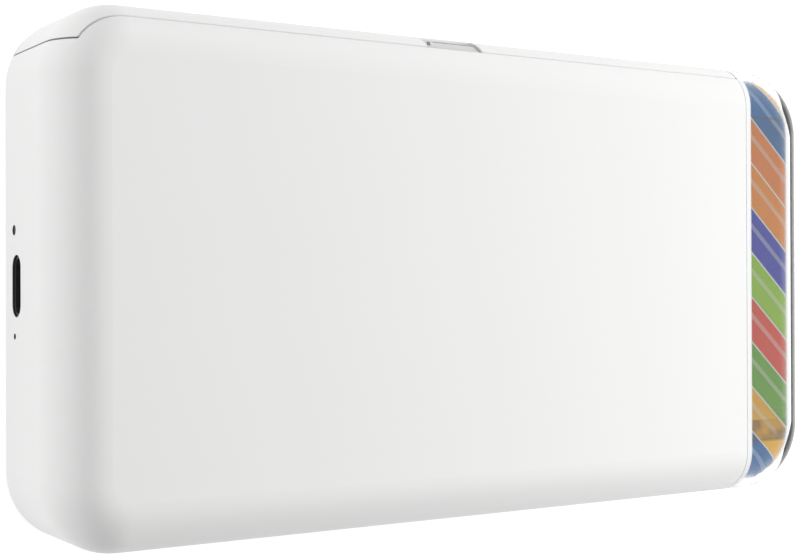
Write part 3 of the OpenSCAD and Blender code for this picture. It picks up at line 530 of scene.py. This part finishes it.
def coil(x, y, start):
    """Corners and faces of one closed wire coil; start is the number of its first corner."""
    corners, faces = [], []
    steps = COIL_TURNS * COIL_STEPS
    rise = COIL_TOP - COIL_FOOT - 2 * WIRE_R
    for i in range(steps + 1):
        turn = 2 * math.pi * i / COIL_STEPS
        out = Vector((math.cos(turn), math.sin(turn), 0))
        centre = Vector((x, y, COIL_FOOT + WIRE_R + rise * i / steps)) + out * COIL_R
        for k in range(WIRE_SIDES):
            angle = 2 * math.pi * k / WIRE_SIDES
            edge = out * (WIRE_R * math.cos(angle)) + Vector((0, 0, WIRE_R * math.sin(angle)))
            corners.append((centre + edge) * MM)
    for i in range(steps):
        for k in range(WIRE_SIDES):
            a, b = start + i * WIRE_SIDES, k
            c = (k + 1) % WIRE_SIDES
            faces.append((a + b, a + WIRE_SIDES + b, a + WIRE_SIDES + c, a + c))
    last = start + steps * WIRE_SIDES
    faces.append(tuple(start + k for k in range(WIRE_SIDES)))
    faces.append(tuple(last + k for k in reversed(range(WIRE_SIDES))))
    return corners, faces


def add_head_coils(steel):
    """Two coils in one piece, which stands for the plain springs of the CAD model."""
    corners, faces = [], []
    for y in COIL_Y:
        more, sides = coil(COIL_X, y, len(corners))
        corners += more
        faces += sides
    mesh = bpy.data.meshes.new("head_coils")
    mesh.from_pydata(corners, [], faces)
    mesh.polygons.foreach_set("use_smooth", [len(face) == 4 for face in faces])
    mesh.materials.append(steel)
    coils = bpy.data.objects.new("head_coils", mesh)
    bpy.context.scene.collection.objects.link(coils)
    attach(coils, "root")
    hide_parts("head_springs")
    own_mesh(coils)


# ---- stage ----

def add_camera():
    """The camera at the photographed viewpoint."""
    camera = bpy.data.objects.new("camera", bpy.data.cameras.new("camera"))
    turn = Matrix((CAMERA_RIGHT, CAMERA_UP, CAMERA_BACK)).transposed()
    camera.matrix_world = Matrix.Translation(CAMERA_PLACE) @ turn.to_4x4()
    camera.data.lens = CAMERA_LENS
    camera.data.sensor_width = SENSOR_WIDTH
    camera.data.clip_start = 0.01
    bpy.context.scene.collection.objects.link(camera)
    bpy.context.scene.camera = camera


def seen_directly(nodes, links):
    """A value of 1 for camera, glossy and transmitted rays."""
    path = nodes.new("ShaderNodeLightPath").outputs
    total = path["Is Camera Ray"]
    for key in ("Is Glossy Ray", "Is Transmission Ray"):
        add = nodes.new("ShaderNodeMath")
        add.operation = "MAXIMUM"
        links.new(total, add.inputs[0])
        links.new(path[key], add.inputs[1])
        total = add.outputs[0]
    return total


def add_world():
    """A white world, which lights the object at a lower level than it shows."""
    world = bpy.data.worlds.new("studio")
    bpy.context.scene.world = world
    world.use_nodes = True
    nodes, links = world.node_tree.nodes, world.node_tree.links
    level = nodes.new("ShaderNodeMapRange")
    level.inputs["To Min"].default_value = WORLD_LEVEL
    level.inputs["To Max"].default_value = 1.0
    links.new(seen_directly(nodes, links), level.inputs["Value"])
    links.new(level.outputs["Result"], nodes["Background"].inputs["Strength"])
    nodes["Background"].inputs["Color"].default_value = (1.0, 1.0, 1.0, 1.0)


def add_floor():
    """A wide pale floor that shows white and still takes the object's shadow."""
    bpy.ops.mesh.primitive_plane_add(size=4.0, location=(0, 0, FLOOR_Z * MM))
    floor = bpy.context.object
    floor.name = "floor"
    g = Graph("floor")
    seen = seen_directly(g.nodes, g.links)
    white = (1.0, 1.0, 1.0)
    grain = g.span(g.noise(900.0, 2.0), 0.0, 1.0, 0.97, 1.0)
    paper = g.mix(seen, tint(white, FLOOR_TONE), tint(white, FLOOR_SEEN))
    g.set(Base_Color=g.mix(grain, (0.0, 0.0, 0.0), paper),
          Roughness=0.9,
          Specular_IOR_Level=0.0,
          Emission_Color=white,
          Emission_Strength=g.math("MULTIPLY", seen, FLOOR_GLOW))
    floor.data.materials.append(g.material)


def add_lamp(name, place, aim, size, power):
    """A soft rectangular lamp, which glass and polished faces don't show."""
    light = bpy.data.lights.new(name, "AREA")
    light.shape = "RECTANGLE"
    light.size, light.size_y = size
    light.energy = power
    lamp = bpy.data.objects.new(name, light)
    lamp.location = place
    lamp.rotation_euler = (Vector(aim) - Vector(place)).to_track_quat("-Z", "Y").to_euler()
    lamp.visible_glossy = False
    lamp.visible_transmission = False
    bpy.context.scene.collection.objects.link(lamp)


def add_lamps():
    """Lamps for the large face, the USB end and the door's side."""
    add_lamp("key", place=(0.55, 0, 0.30), aim=(0.03, 0, 0), size=(0.3, 0.2), power=4.45)
    add_lamp("end", place=(-0.55, 0.03, 0.03), aim=(-0.075, 0, 0.013), size=(0.3, 0.05), power=1.16)
    add_lamp("side", place=(0.02, 0.50, 0.30), aim=(0, 0.02, 0.02), size=(0.4, 0.2), power=0.78)


finishes = make_finishes()
dress(finishes)
add_head_coils(finishes["steel"])
add_world()
add_floor()
add_lamps()
add_camera()
bpy.context.scene.view_settings.view_transform = "Standard"
